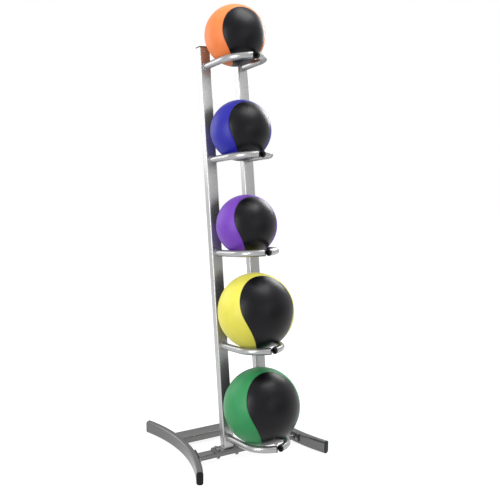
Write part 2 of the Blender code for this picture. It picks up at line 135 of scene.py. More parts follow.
def satinSilverPaint(name, look):
    # Sprayed and baked metallic powder coat on steel tube: fine aluminium flake gives it a silver
    # body, a faint orange peel softens what it mirrors
    material, tree, shader = newMaterial(name)
    place = addNode(tree, "ShaderNodeTexCoord").outputs["Object"]
    flake = addNode(tree, "ShaderNodeTexNoise", {
        "Vector": place, "Scale": 1000 / look["flakeMm"], "Detail": 3.0, "Roughness": 0.6})
    tone = addNode(tree, "ShaderNodeValToRGB", {"Fac": flake.outputs["Fac"]})
    tone.color_ramp.elements[0].position = 0.3
    tone.color_ramp.elements[0].color = hexColor(look["dark"])
    tone.color_ramp.elements[1].position = 0.7
    tone.color_ramp.elements[1].color = hexColor(look["light"])
    handling = addNode(tree, "ShaderNodeTexNoise", {
        "Vector": place, "Scale": 1000 / look["handlingMm"], "Detail": 4.0})
    # The coat thins over the tubes' bent edges, unevenly, and lets a paler tone through
    rim = addNode(tree, "ShaderNodeAttribute", attribute_name="rim").outputs["Fac"]
    spots = addNode(tree, "ShaderNodeTexNoise", {
        "Vector": place, "Scale": 1000 / look["wearMm"], "Detail": 4.0})
    patches = addNode(tree, "ShaderNodeMapRange", {
        "Value": spots.outputs["Fac"], "From Min": 0.38, "From Max": 0.62, "To Min": 0.2, "To Max": 0.7})
    worn = addNode(tree, "ShaderNodeMath", {0: rim, 1: patches.outputs["Result"]}, operation="MULTIPLY")
    color = addNode(tree, "ShaderNodeMix", {
        0: worn.outputs[0], 6: tone.outputs["Color"], 7: hexColor(look["worn"])}, data_type="RGBA")
    tree.links.new(color.outputs[2], shader.inputs["Base Color"])
    rough = addNode(tree, "ShaderNodeMapRange", {
        "Value": handling.outputs["Fac"], "From Min": 0.3, "From Max": 0.7,
        "To Min": look["roughLow"], "To Max": look["roughHigh"]})
    tree.links.new(rough.outputs["Result"], shader.inputs["Roughness"])
    peel = addNode(tree, "ShaderNodeTexNoise", {
        "Vector": place, "Scale": 1000 / look["peelMm"], "Detail": 1.0})
    bump = addNode(tree, "ShaderNodeBump", {
        "Height": peel.outputs["Fac"], "Strength": look["peelStrength"], "Distance": look["peelDepth"]})
    tree.links.new(bump.outputs["Normal"], shader.inputs["Normal"])
    shader.inputs["Metallic"].default_value = look["metal"]
    return material


silverPaint = satinSilverPaint("satin silver powder coat", paintLook)
# The arms take a copy of the paint a shade darker, as painted shade; its slightly lower roughness is real.
shadedArmPaint = satinSilverPaint("arm silver powder coat toned darker as painted shade", {
    **paintLook, "light": "a7a7a8", "dark": "9d9d9e", "roughLow": 0.25, "roughHigh": 0.29})

plasticLook = {
    "color": "0c0c0e", "lighter": "161618", "rough": 0.46, "specular": 0.2,
    "grainMm": 1.1,  # a spark-eroded grain is near 0.1 mm, drawn coarser so that it shows
    "grainStrength": 0.25, "grainDepth": 0.0003, "scuffMm": 14.286,
}


def mouldedPlastic(look):
    # Injection-moulded polyethylene: near black, with a fine grain from the mould and a dull shine
    material, tree, shader = newMaterial("moulded black polyethylene")
    place = addNode(tree, "ShaderNodeTexCoord").outputs["Object"]
    grain = addNode(tree, "ShaderNodeTexNoise", {
        "Vector": place, "Scale": 1000 / look["grainMm"], "Detail": 3.0})
    bump = addNode(tree, "ShaderNodeBump", {
        "Height": grain.outputs["Fac"], "Strength": look["grainStrength"], "Distance": look["grainDepth"]})
    tree.links.new(bump.outputs["Normal"], shader.inputs["Normal"])
    scuff = addNode(tree, "ShaderNodeTexNoise", {
        "Vector": place, "Scale": 1000 / look["scuffMm"], "Detail": 4.0})
    tone = addNode(tree, "ShaderNodeValToRGB", {"Fac": scuff.outputs["Fac"]})
    tone.color_ramp.elements[0].color = hexColor(look["color"])
    tone.color_ramp.elements[1].color = hexColor(look["lighter"])
    tree.links.new(tone.outputs["Color"], shader.inputs["Base Color"])
    shader.inputs["Roughness"].default_value = look["rough"]
    shader.inputs["Specular IOR Level"].default_value = look["specular"]
    return material


blackPlastic = mouldedPlastic(plasticLook)

zincLook = {
    "light": "a9a9a6", "dark": "7c7c79", "rough": 0.33, "stretch": 6,
    "grainMm": 0.8,  # the lines are near 0.1 mm apart, drawn coarser so that they show
}


def zincPlate(look):
    # Electroplated bright zinc on rolled steel: a cool silver with faint drawing lines
    material, tree, shader = newMaterial("bright zinc plate")
    place = addNode(tree, "ShaderNodeTexCoord").outputs["Object"]
    lines = addNode(tree, "ShaderNodeMapping", {
        "Vector": place, "Scale": (1, 1, look["stretch"])})
    grain = addNode(tree, "ShaderNodeTexNoise", {
        "Vector": lines.outputs["Vector"], "Scale": 1000 / look["grainMm"], "Detail": 2.0})
    tone = addNode(tree, "ShaderNodeValToRGB", {"Fac": grain.outputs["Fac"]})
    tone.color_ramp.elements[0].color = hexColor(look["dark"])
    tone.color_ramp.elements[1].color = hexColor(look["light"])
    tree.links.new(tone.outputs["Color"], shader.inputs["Base Color"])
    shader.inputs["Metallic"].default_value = 1.0
    shader.inputs["Roughness"].default_value = look["rough"]
    return material


zinc = zincPlate(zincLook)


rubberLook = {
    "pebbleMm": 1.6, "pebbleStrength": 0.3, "pebbleDepth": 0.0005, "cloudMm": 38.46,
    "rough": 0.44, "specular": 0.34,
}


def ballRubber(name, base, lighter, look):
    # Moulded natural rubber: an even colour, a very fine pebble from the mould, a wide soft sheen
    # and faint marks from handling
    material, tree, shader = newMaterial(name)
    place = addNode(tree, "ShaderNodeTexCoord").outputs["Object"]
    cloud = addNode(tree, "ShaderNodeTexNoise", {
        "Vector": place, "Scale": 1000 / look["cloudMm"], "Detail": 5.0})
    tone = addNode(tree, "ShaderNodeValToRGB", {"Fac": cloud.outputs["Fac"]})
    tone.color_ramp.elements[0].position = 0.3
    tone.color_ramp.elements[0].color = hexColor(base)
    tone.color_ramp.elements[1].position = 0.75
    tone.color_ramp.elements[1].color = hexColor(lighter)
    tree.links.new(tone.outputs["Color"], shader.inputs["Base Color"])
    pebble = addNode(tree, "ShaderNodeTexVoronoi", {
        "Vector": place, "Scale": 1000 / look["pebbleMm"], "Smoothness": 0.6}, feature="SMOOTH_F1")
    bump = addNode(tree, "ShaderNodeBump", {
        "Height": pebble.outputs["Distance"], "Strength": look["pebbleStrength"],
        "Distance": look["pebbleDepth"]})
    tree.links.new(bump.outputs["Normal"], shader.inputs["Normal"])
    wipe = addNode(tree, "ShaderNodeMapRange", {
        "Value": cloud.outputs["Fac"], "From Min": 0.3, "From Max": 0.7,
        "To Min": look["rough"] - 0.04, "To Max": look["rough"] + 0.06})
    tree.links.new(wipe.outputs["Result"], shader.inputs["Roughness"])
    shader.inputs["Specular IOR Level"].default_value = look["specular"]
    return material


print("finishes made")


rackPlan = {
    "lean": math.radians(8), "frontBarY": 0.0155, "plateTop": 0.0413, "gap": 0.0003,
    "uprightX": 0.0785, "uprightLength": 1.494, "topArmDrop": 0.0715, "lowestArm": 0.0785, "tiers": 5,
}
plateLow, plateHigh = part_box("base_plate_left")
rackShift = (plateLow[1] + plateHigh[1]) / 2 - rackPlan["frontBarY"]
uprightStart = (rackPlan["plateTop"] + rackPlan["gap"]) / math.cos(rackPlan["lean"])
topArm = uprightStart + rackPlan["uprightLength"] - rackPlan["topArmDrop"]
tierPitch = (topArm - rackPlan["lowestArm"]) / (rackPlan["tiers"] - 1)


def facePoint(along):  # on the uprights' front plane, a distance up from the floor
    lean = rackPlan["lean"]
    return Vector((0, along * math.sin(lean) + rackShift, along * math.cos(lean)))


def faceMatrix(x, along):  # local -Y stands square off the uprights' faces
    spot = facePoint(along)
    return Matrix.Translation((x, spot.y, spot.z)) @ Matrix.Rotation(-rackPlan["lean"], 4, "X")


uprightTube = {
    "width": 0.043, "depth": 0.032, "corner": 0.005, "steps": 8, "lengths": 12, "wornTurn": 0.19,
}
topCap = {"overhang": 0.0024, "thickness": 0.003, "edge": 0.0009}


def makeUpright(side, sign):  # the lower end is cut level, and the cap covers the upper one
    width, depth = uprightTube["width"], uprightTube["depth"]
    section = roundedOutline(width, depth, uprightTube["corner"], uprightTube["steps"])
    outline = [(x, y + depth / 2) for x, y in section]
    slope = math.tan(rackPlan["lean"])
    length = rackPlan["uprightLength"]
    count = uprightTube["lengths"]
    bm = bmesh.new()
    rings = [[(x, y, y * slope) for x, y in outline]]
    for share in range(1, count + 1):
        rings.append([(x, y, length * share / count) for x, y in outline])
    stack(bm, rings, faceMatrix(sign * rackPlan["uprightX"], uprightStart))
    newPiece("upright_tube_" + side, bm, silverPaint, replaced=["upright_" + side],
             wornTurn=uprightTube["wornTurn"])

    edge = topCap["edge"]
    over = topCap["overhang"]
    seat = length + rackPlan["gap"]

    def capRing(inset, z):
        points = roundedOutline(width + 2 * over - 2 * inset, depth + 2 * over - 2 * inset,
                                uprightTube["corner"] + over - inset)
        return [(x, y + depth / 2, z) for x, y in points]

    bm = bmesh.new()
    top = seat + topCap["thickness"]
    stack(bm, [
        capRing(edge, seat),
        capRing(edge * 0.3, seat + edge * 0.3),
        capRing(0, seat + edge),
        capRing(0, top - edge),
        capRing(edge * 0.3, top - edge * 0.3),
        capRing(edge, top),
        capRing(edge * 5, top + 0.0002),
    ], faceMatrix(sign * rackPlan["uprightX"], uprightStart))
    newPiece("upright_cap_" + side, bm, blackPlastic, replaced=["top_cap_" + side])


for side, sign in sides:
    makeUpright(side, sign)
print("uprights done")


# Each arm is a path that Geometry Nodes sweep to a tube
armTube = {
    "diameter": 0.025, "straight": 0.129, "bendRadius": 0.106, "bend": math.radians(65),
    "tail": 0.009, "bendSteps": 26, "sides": 40,
}
armPlug = {"rim": 0.0025, "dome": 0.0015, "steps": 6, "hollow": 0.75}


def armPath():  # from the root to the mouth, in the plane that stands square off the face
    points = [Vector((0, -rackPlan["gap"], 0)), Vector((0, -rackPlan["gap"] - armTube["straight"], 0))]
    heading = 0.0
    turn = armTube["bend"] / armTube["bendSteps"]
    chord = 2 * armTube["bendRadius"] * math.sin(turn / 2)
    for _ in range(armTube["bendSteps"]):
        middle = heading + turn / 2
        points.append(points[-1] + chord * Vector((math.sin(middle), -math.cos(middle), 0)))
        heading += turn
    points.append(points[-1] + armTube["tail"] * Vector((math.sin(heading), -math.cos(heading), 0)))
    return points, heading


def newTree(name, inputs):  # a Geometry Nodes tree with named inputs
    tree = bpy.data.node_groups.new(name, "GeometryNodeTree")
    tree.interface.new_socket("Geometry", in_out="INPUT", socket_type="NodeSocketGeometry")
    for label, kind, value in inputs:
        socket = tree.interface.new_socket(label, in_out="INPUT", socket_type=kind)
        if value is not None:
            socket.default_value = value
    tree.interface.new_socket("Geometry", in_out="OUTPUT", socket_type="NodeSocketGeometry")
    return tree, addNode(tree, "NodeGroupInput").outputs, addNode(tree, "NodeGroupOutput")


def runTree(name, mesh, tree, values):  # the tree's result as a plain mesh object
    carrier = bpy.data.objects.new(name + "_path", mesh)
    scene.collection.objects.link(carrier)
    modifier = carrier.modifiers.new("shape", "NODES")
    modifier.node_group = tree
    labels = {item.name: item.identifier for item in tree.interface.items_tree if item.in_out == "INPUT"}
    for label, value in values.items():
        modifier[labels[label]] = value
    bpy.context.view_layer.update()
    done = bpy.data.meshes.new_from_object(carrier.evaluated_get(bpy.context.evaluated_depsgraph_get()))
    carrier.modifiers.remove(modifier)
    bpy.data.objects.remove(carrier)
    done.name = name
    piece = bpy.data.objects.new(name, done)
    scene.collection.objects.link(piece)
    return piece


def sweptTubeTree():
    tree, given, out = newTree("swept tube", [
        ("Radius", "NodeSocketFloat", 0.0125), ("Sides", "NodeSocketInt", 40),
        ("Finish", "NodeSocketMaterial", None)])
    path = addNode(tree, "GeometryNodeMeshToCurve", {"Mesh": given["Geometry"]})
    profile = addNode(tree, "GeometryNodeCurvePrimitiveCircle", {
        "Resolution": given["Sides"], "Radius": given["Radius"]})
    tube = addNode(tree, "GeometryNodeCurveToMesh", {
        "Curve": path.outputs["Curve"], "Profile Curve": profile.outputs["Curve"], "Fill Caps": True})
    smooth = addNode(tree, "GeometryNodeSetShadeSmooth", {"Geometry": tube.outputs["Mesh"]})
    real = addNode(tree, "GeometryNodeRealizeInstances", {"Geometry": smooth.outputs["Geometry"]})
    painted = addNode(tree, "GeometryNodeSetMaterial", {
        "Geometry": real.outputs["Geometry"], "Material": given["Finish"]})
    tree.links.new(painted.outputs["Geometry"], out.inputs["Geometry"])
    return tree


def pathMesh(name, points, closed=False):  # points joined by edges
    mesh = bpy.data.meshes.new(name)
    edges = [(i, i + 1) for i in range(len(points) - 1)]
    if closed:
        edges.append((len(points) - 1, 0))
    mesh.from_pydata([tuple(point) for point in points], edges, [])
    return mesh


def makeArm(tree, tier, side, sign):
    points, heading = armPath()
    place = faceMatrix(sign * rackPlan["uprightX"], topArm - tierPitch * (tier - 1))
    mirrored = [Vector((-sign * p.x, p.y, p.z)) for p in points]
    piece = runTree(f"arm_tube_{tier}_{side}", pathMesh("arm path", [place @ p for p in mirrored]), tree, {
        "Radius": armTube["diameter"] / 2, "Sides": armTube["sides"], "Finish": shadedArmPaint})
    piece.data.set_sharp_from_angle(angle=math.radians(40))
    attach(piece, "frame")
    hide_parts(f"arm_{tier}_{side}")

    radius = armTube["diameter"] / 2
    aim = Matrix.Rotation(-sign * heading, 4, "Z") @ Matrix.Rotation(quarterTurn, 4, "X")
    rings = [[(x, y, rackPlan["gap"]) for x, y in circleOutline(radius)]]
    for step in range(armPlug["steps"] + 1):  # the plug's face is a shallow dome with a rounded rim
        share = step / armPlug["steps"]
        inner = radius * (1 - armPlug["hollow"] * share ** 2)
        rise = armPlug["rim"] + armPlug["dome"] * math.sin(quarterTurn * share)
        rings.append([(x, y, rackPlan["gap"] + rise) for x, y in circleOutline(inner)])
    bm = bmesh.new()
    stack(bm, rings, place @ Matrix.Translation(mirrored[-1]) @ aim)
    newPiece(f"arm_cap_{tier}_{side}", bm, blackPlastic, replaced=[f"arm_plug_{tier}_{side}"],
             sharp=50)


tubeTree = sweptTubeTree()
for tier in range(1, rackPlan["tiers"] + 1):
    for side, sign in sides:
        makeArm(tubeTree, tier, side, sign)
print("arms done")


# The feet are oval tube bowed towards the middle, with rounded plastic caps
footTube = {
    "height": 0.048, "width": 0.025, "corner": 0.0095, "radius": 0.648, "waistX": 0.210,
    "waistY": 0.133, "ahead": 0.130, "behind": 0.367, "steps": 48,
    "capThickness": 0.003, "capEdge": 0.0014, "capSteps": 4,
}


def footStation(angle, sign):  # the tube's middle at an angle of its bow, with its directions there
    x = footTube["waistX"] + footTube["radius"] * (1 - math.cos(angle))
    y = footTube["waistY"] + footTube["radius"] * math.sin(angle) + rackShift
    outwards = Vector((sign * math.cos(angle), -math.sin(angle), 0))
    forward = Vector((math.sin(angle) * sign, math.cos(angle), 0))
    return Vector((sign * x, y, footTube["height"] / 2)), outwards, forward


def footRing(angle, sign, inset=0.0, shift=0.0):
    centre, outwards, forward = footStation(angle, sign)
    points = roundedOutline(footTube["width"] - 2 * inset, footTube["height"] - 2 * inset,
                            footTube["corner"] - inset * 0.6)
    return [centre + outwards * u + Vector((0, 0, w)) + forward * shift for u, w in points]


def makeFoot(side, sign):
    front = -math.asin((footTube["ahead"] + footTube["waistY"]) / footTube["radius"])
    back = math.asin((footTube["behind"] - footTube["waistY"]) / footTube["radius"])
    count = footTube["steps"]
    bm = bmesh.new()
    stack(bm, [footRing(front + (back - front) * i / count, sign) for i in range(count + 1)])
    newPiece("foot_tube_" + side, bm, shadedBasePaint, replaced=["foot_" + side])
    for end, angle, way in (("front", front, -1), ("back", back, 1)):
        edge = footTube["capEdge"]
        face = rackPlan["gap"] + footTube["capThickness"]
        rings = [footRing(angle, sign, 0, way * rackPlan["gap"])]
        for step in range(footTube["capSteps"] + 1):
            a = quarterTurn * step / footTube["capSteps"]
            reach = face - edge + edge * math.sin(a)
            rings.append(footRing(angle, sign, edge * (1 - math.cos(a)), way * reach))
        bm = bmesh.new()
        stack(bm, rings)
        newPiece(f"foot_end_{side}_{end}", bm, blackPlastic, replaced=[f"foot_cap_{side}_{end}"],
                 sharp=50)


# The feet, crossbars and plates take a darker copy of the silver paint, as painted shade on the low parts.
shadedBasePaint = satinSilverPaint("silver powder coat darkened as painted shade", {
    **paintLook, "light": "727272", "dark": "656566", "worn": "8a8a88"})
for side, sign in sides:
    makeFoot(side, sign)
print("feet done")


crossbars = {  # flat tube with round corners, "end" is how far it stops short of the foot
    "front_crossbar": {
        "depth": 0.038, "height": 0.019, "corner": 0.004, "top": 0.036, "y": 0.0155, "end": 0.0046},
    "rear_crossbar": {
        "depth": 0.062, "height": 0.0265, "corner": 0.004, "top": 0.039, "y": 0.201, "end": 0.0003},
}


def footBeside(bar, sign):  # the place on the foot's bow where a crossbar meets it
    inner = footTube["radius"] + footTube["width"] / 2
    return footStation(math.asin((bar["y"] - footTube["waistY"]) / inner), sign)


def makeCrossbar(node, bar):
    centre, outwards, _ = footBeside(bar, 1)
    seatX = centre.x - outwards.x * footTube["width"] / 2
    rings = []
    for share in (-1, -0.96, -0.5, 0, 0.5, 0.96, 1):
        ring = []
        for u, w in roundedOutline(bar["depth"], bar["height"], bar["corner"]):
            reach = seatX - (u * outwards.y + bar["end"]) / outwards.x
            ring.append((reach * share, bar["y"] + rackShift + u, bar["top"] - bar["height"] / 2 + w))
        rings.append(ring)
    bm = bmesh.new()
    stack(bm, rings)
    newPiece(node + "_tube", bm, shadedBasePaint, replaced=[node],
             wornTurn=uprightTube["wornTurn"])


for node, bar in crossbars.items():
    makeCrossbar(node, bar)
for side, _ in sides:  # the plates and cap screws keep their modelled shape and take the finish
    for node, finish in (("base_plate_", shadedBasePaint), ("crossbar_flange_", shadedBasePaint), ("cap_screw_", zinc)):
        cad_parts[node + side].data.materials[0] = finish
print("crossbars and plates done")


# Geometry Nodes set a washered hex head on each bolt's spot
plateBolts = {"Flats": 0.013, "Head": 0.0055, "Washer": 0.016, "Sheet": 0.0016, "Stub": 0.0002}
plateNuts = {**plateBolts, "Head": 0.0053, "Sheet": 0.0012, "Stub": 0.0015}
flangeBolts = {"Flats": 0.010, "Head": 0.004, "Washer": 0.012, "Sheet": 0.0012, "Stub": 0.0002}
hexShape = {  # shares of the width across flats, of the head's height and of its corner radius
    "corner": 0.57735, "stub": 0.3, "body": 0.8, "chamfer": 0.2, "face": 0.84, "sides": 28,
}
boltPlan = {
    "outset": 0.025, "inset": 0.0095, "rows": 0.020, "headTurn": 0.3, "nutTurn": 0.2,
    "flangeZ": 0.027, "flangeRow": 0.055, "flangeThickness": 0.004,
}


def boltTree():
    tree, given, out = newTree("hex bolts", [
        ("Flats", "NodeSocketFloat", 0.013), ("Head", "NodeSocketFloat", 0.0055),
        ("Washer", "NodeSocketFloat", 0.016), ("Sheet", "NodeSocketFloat", 0.0016),
        ("Stub", "NodeSocketFloat", 0.0002),
        ("Turn", "NodeSocketVector", (0.0, 0.0, 0.0)), ("Finish", "NodeSocketMaterial", None)])
    corner = addNode(tree, "ShaderNodeMath", {0: given["Flats"], 1: hexShape["corner"]},
                     operation="MULTIPLY")
    bodyHigh = addNode(tree, "ShaderNodeMath", {0: given["Head"], 1: hexShape["body"]},
                       operation="MULTIPLY")
    capHigh = addNode(tree, "ShaderNodeMath", {0: given["Head"], 1: hexShape["chamfer"]},
                      operation="MULTIPLY")
    capRadius = addNode(tree, "ShaderNodeMath", {0: corner.outputs[0], 1: hexShape["face"]},
                        operation="MULTIPLY")
    washerRadius = addNode(tree, "ShaderNodeMath", {0: given["Washer"], 1: 0.5}, operation="MULTIPLY")
    washer = addNode(tree, "GeometryNodeMeshCylinder", {
        "Vertices": hexShape["sides"], "Radius": washerRadius.outputs[0], "Depth": given["Sheet"]})
    washerLift = addNode(tree, "ShaderNodeMath", {0: given["Sheet"], 1: 0.5}, operation="MULTIPLY")
    washerAt = addNode(tree, "ShaderNodeCombineXYZ", {"Z": washerLift.outputs[0]})
    washerSet = addNode(tree, "GeometryNodeTransform", {
        "Geometry": washer.outputs["Mesh"], "Translation": washerAt.outputs["Vector"]})
    hexBody = addNode(tree, "GeometryNodeMeshCylinder", {
        "Vertices": 6, "Radius": corner.outputs[0], "Depth": bodyHigh.outputs[0]})
    bodyMiddle = addNode(tree, "ShaderNodeMath", {0: bodyHigh.outputs[0], 1: 0.5, 2: given["Sheet"]},
                         operation="MULTIPLY_ADD")
    bodyAt = addNode(tree, "ShaderNodeCombineXYZ", {"Z": bodyMiddle.outputs[0]})
    bodySet = addNode(tree, "GeometryNodeTransform", {
        "Geometry": hexBody.outputs["Mesh"], "Translation": bodyAt.outputs["Vector"]})
    chamfer = addNode(tree, "GeometryNodeMeshCone", {
        "Vertices": 6, "Radius Top": capRadius.outputs[0], "Radius Bottom": corner.outputs[0],
        "Depth": capHigh.outputs[0]})
    capLift = addNode(tree, "ShaderNodeMath", {0: given["Sheet"], 1: bodyHigh.outputs[0]}, operation="ADD")
    capAt = addNode(tree, "ShaderNodeCombineXYZ", {"Z": capLift.outputs[0]})
    capSet = addNode(tree, "GeometryNodeTransform", {
        "Geometry": chamfer.outputs["Mesh"], "Translation": capAt.outputs["Vector"]})
    stubRadius = addNode(tree, "ShaderNodeMath", {0: given["Flats"], 1: hexShape["stub"]},
                         operation="MULTIPLY")
    stub = addNode(tree, "GeometryNodeMeshCylinder", {
        "Vertices": hexShape["sides"], "Radius": stubRadius.outputs[0], "Depth": given["Stub"]})
    headTop = addNode(tree, "ShaderNodeMath", {0: given["Sheet"], 1: given["Head"]}, operation="ADD")
    stubMiddle = addNode(tree, "ShaderNodeMath", {0: given["Stub"], 1: 0.5, 2: headTop.outputs[0]},
                         operation="MULTIPLY_ADD")
    stubAt = addNode(tree, "ShaderNodeCombineXYZ", {"Z": stubMiddle.outputs[0]})
    stubSet = addNode(tree, "GeometryNodeTransform", {
        "Geometry": stub.outputs["Mesh"], "Translation": stubAt.outputs["Vector"]})
    joined = addNode(tree, "GeometryNodeJoinGeometry")
    for part in (washerSet, bodySet, capSet, stubSet):
        tree.links.new(part.outputs["Geometry"], joined.inputs["Geometry"])
    spots = addNode(tree, "GeometryNodeMeshToPoints", {"Mesh": given["Geometry"]})
    turn = addNode(tree, "FunctionNodeEulerToRotation", {"Euler": given["Turn"]})
    placed = addNode(tree, "GeometryNodeInstanceOnPoints", {
        "Points": spots.outputs["Points"], "Instance": joined.outputs["Geometry"],
        "Rotation": turn.outputs["Rotation"]})
    real = addNode(tree, "GeometryNodeRealizeInstances", {"Geometry": placed.outputs["Instances"]})
    painted = addNode(tree, "GeometryNodeSetMaterial", {
        "Geometry": real.outputs["Geometry"], "Material": given["Finish"]})
    tree.links.new(painted.outputs["Geometry"], out.inputs["Geometry"])
    return tree


def makeBolts(name, spots, turn, sizes, tree, replaced):
    piece = runTree(name, pathMesh("bolt spots", spots), tree, {**sizes, "Turn": turn, "Finish": zinc})
    piece.data.shade_flat()
    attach(piece, "frame")
    if replaced:
        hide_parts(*replaced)


def boltFrontBar(side, sign, tree):
    bar = crossbars["front_crossbar"]
    half = uprightTube["width"] / 2
    columns = (half + boltPlan["outset"], -half - boltPlan["inset"])
    plateSpots = []
    nutSpots = []
    for column in columns:
        for way in (-1, 1):
            x = sign * (rackPlan["uprightX"] + column)
            y = bar["y"] + rackShift + way * boltPlan["rows"] / 2
            plateSpots.append((x, y, rackPlan["plateTop"] + rackPlan["gap"]))
            nutSpots.append((x, y, bar["top"] - bar["height"] - rackPlan["gap"]))
    makeBolts("plate_bolts_" + side, plateSpots, (0, 0, boltPlan["headTurn"]), plateBolts, tree,
              [f"plate_bolt_{side}_{n}" for n in (1, 2, 3, 4)])
    makeBolts("plate_nuts_" + side, nutSpots, (math.pi, 0, boltPlan["nutTurn"]), plateNuts, tree, [])

    centre, outwards, forward = footBeside(bar, sign)
    seat = centre - outwards * (footTube["width"] / 2 + 2 * rackPlan["gap"] + boltPlan["flangeThickness"])
    seat.z = boltPlan["flangeZ"]
    flangeSpots = [seat + forward * way * boltPlan["flangeRow"] / 2 for way in (-1, 1)]
    turnZ = math.atan2(-outwards.y, -outwards.x)
    makeBolts("flange_bolts_" + side, flangeSpots, (0, quarterTurn, turnZ), flangeBolts, tree,
              [f"flange_bolt_{side}_{n}" for n in (1, 2)])


hexTree = boltTree()
for side, sign in sides:
    boltFrontBar(side, sign, hexTree)
print("bolts done")


# Geometry Nodes lay a bead of weld drops round each joint
weldBead = {  # reach, sink and lift are shares of a drop's size
    "size": 0.0021, "step": 0.0021, "smallest": 0.86, "largest": 1.08, "seed": 4,
    "reach": 0.2, "sink": 0.35, "lift": 0.4,
}


def weldTree():
    tree, given, out = newTree("weld bead", [
        ("Size", "NodeSocketFloat", 0.002), ("Step", "NodeSocketFloat", 0.002),
        ("Seed", "NodeSocketInt", 4), ("Finish", "NodeSocketMaterial", None)])
    path = addNode(tree, "GeometryNodeMeshToCurve", {"Mesh": given["Geometry"]})
    spread = addNode(tree, "GeometryNodeCurveToPoints", {
        "Curve": path.outputs["Curve"], "Length": given["Step"]}, mode="LENGTH")
    drop = addNode(tree, "GeometryNodeMeshIcoSphere", {"Radius": given["Size"], "Subdivisions": 2})
    vary = addNode(tree, "FunctionNodeRandomValue", {"Seed": given["Seed"]}, data_type="FLOAT")
    vary.inputs[2].default_value = weldBead["smallest"]
    vary.inputs[3].default_value = weldBead["largest"]
    placed = addNode(tree, "GeometryNodeInstanceOnPoints", {
        "Points": spread.outputs["Points"], "Instance": drop.outputs["Mesh"],
        "Scale": vary.outputs[1]})
    real = addNode(tree, "GeometryNodeRealizeInstances", {"Geometry": placed.outputs["Instances"]})
    smooth = addNode(tree, "GeometryNodeSetShadeSmooth", {"Geometry": real.outputs["Geometry"]})
    painted = addNode(tree, "GeometryNodeSetMaterial", {
        "Geometry": smooth.outputs["Geometry"], "Material": given["Finish"]})
    tree.links.new(painted.outputs["Geometry"], out.inputs["Geometry"])
    return tree


def makeWeld(name, points, tree, finish):
    piece = runTree(name, pathMesh("weld path", points, closed=True), tree, {
        "Size": weldBead["size"], "Step": weldBead["step"], "Seed": weldBead["seed"], "Finish": finish})
    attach(piece, "frame")


beadTree = weldTree()
for side, sign in sides:
    for tier in range(1, rackPlan["tiers"] + 1):
        place = faceMatrix(sign * rackPlan["uprightX"], topArm - tierPitch * (tier - 1))
        reach = armTube["diameter"] / 2 + weldBead["size"] * weldBead["reach"]
        sink = weldBead["size"] * weldBead["sink"]
        ring = [place @ Vector((u, -sink, w)) for u, w in circleOutline(reach, 24)]
        makeWeld(f"arm_weld_{tier}_{side}", ring, beadTree, shadedArmPaint)
    foot = faceMatrix(sign * rackPlan["uprightX"], uprightStart)
    ring = []
    depth = uprightTube["depth"] + 2 * rackPlan["gap"]
    for x, y in roundedOutline(uprightTube["width"], depth, uprightTube["corner"], 4):
        y += uprightTube["depth"] / 2
        spot = foot @ Vector((x, y, y * math.tan(rackPlan["lean"])))
        ring.append(Vector((spot.x, spot.y, rackPlan["plateTop"] + weldBead["size"] * weldBead["lift"])))
    makeWeld("upright_weld_" + side, ring, beadTree, silverPaint)
print("welds done")


# Each ball is two interlocking rubber covers that meet in a shallow groove
ballPlan = {
    "second": 0.3785, "third": -0.0261, "lift": -0.091, "seamPoints": 900, "rungs": 120, "across": 26,
    "gap": 0.0004, "grooveWidth": 0.0026, "grooveDepth": 0.0011, "rimSteps": (0, 0.25, 0.55), "wall": 0.006,
    "blackBase": "06060a", "blackLighter": "0b0b10", "blackRough": 0.33, "blackSpecular": 0.2,
}
balls = (  # from the top down, turns in degrees about X, Y and Z
    {"radius": 0.11205, "ahead": 0.08065, "up": 0.10996, "turn": (15.1, -8.5, -1.6),
     "finish": "orange", "base": "ec7d3e", "lighter": "f2894a"},
    {"radius": 0.11205, "ahead": 0.08065, "up": 0.10996, "turn": (5.7, -1.5, -0.6),
     "finish": "blue", "base": "191894", "lighter": "1f1ea0"},
    {"radius": 0.11205, "ahead": 0.08065, "up": 0.10996, "turn": (0.7, -3.0, -0.2),
     "finish": "purple", "base": "6c36ab", "lighter": "743eb5"},
    {"radius": 0.1396, "ahead": 0.10693, "up": 0.14746, "turn": (-3.0, -4.7, 0.1),
     "finish": "yellow", "base": "ddd44e", "lighter": "e4dc59"},
    {"radius": 0.1396, "ahead": 0.10693, "up": 0.14746, "turn": (-2.8, -3.4, 1.0),
     "finish": "green", "base": "25834a", "lighter": "2c8b51"},
)


def seamDirection(angle):  # a tennis ball's seam, its necks drawn in by two higher harmonics
    first, second, third = 1 - ballPlan["second"], ballPlan["second"], ballPlan["third"]
    return Vector((
        first * math.cos(angle) - second * math.cos(3 * angle) - third * math.cos(5 * angle),
        -first * math.sin(angle) - second * math.sin(3 * angle) + third * math.sin(5 * angle),
        ballPlan["lift"] * math.cos(6 * angle) - 2 * math.sqrt(first * second) * math.cos(2 * angle),
    )).normalized()


seamAngles = [math.tau * i / ballPlan["seamPoints"] for i in range(ballPlan["seamPoints"])]
seamArray = np.array([tuple(seamDirection(angle)) for angle in seamAngles])


def seamSpot(angle, aside):  # a seam point moved a small angle into one panel
    point = seamDirection(angle)
    along = seamDirection(angle + 0.002) - seamDirection(angle - 0.002)
    return (point + point.cross(along).normalized() * aside).normalized()


def panelRows(radius, start, flip):  # directions across one panel, rung by rung
    aside = (1 if start < 0 else -1) * ballPlan["gap"] / 2 / radius
    groove = ballPlan["grooveWidth"] / radius
    rows = []
    for i in range(ballPlan["rungs"] + 1):
        near = seamSpot(start + math.pi * i / ballPlan["rungs"], aside)
        far = Vector((near.x * flip[0], near.y * flip[1], near.z))
        spread = near.angle(far)
        rim = min(groove, spread / 2)
        steps = [rim * share for share in ballPlan["rimSteps"]]
        count = ballPlan["across"]
        steps += [rim + (spread - 2 * rim) * k / count for k in range(count + 1)]
        steps += [spread - rim * share for share in reversed(ballPlan["rimSteps"])]
        rows.append([(near * math.sin(spread - a) + far * math.sin(a)).normalized() for a in steps])
    return rows


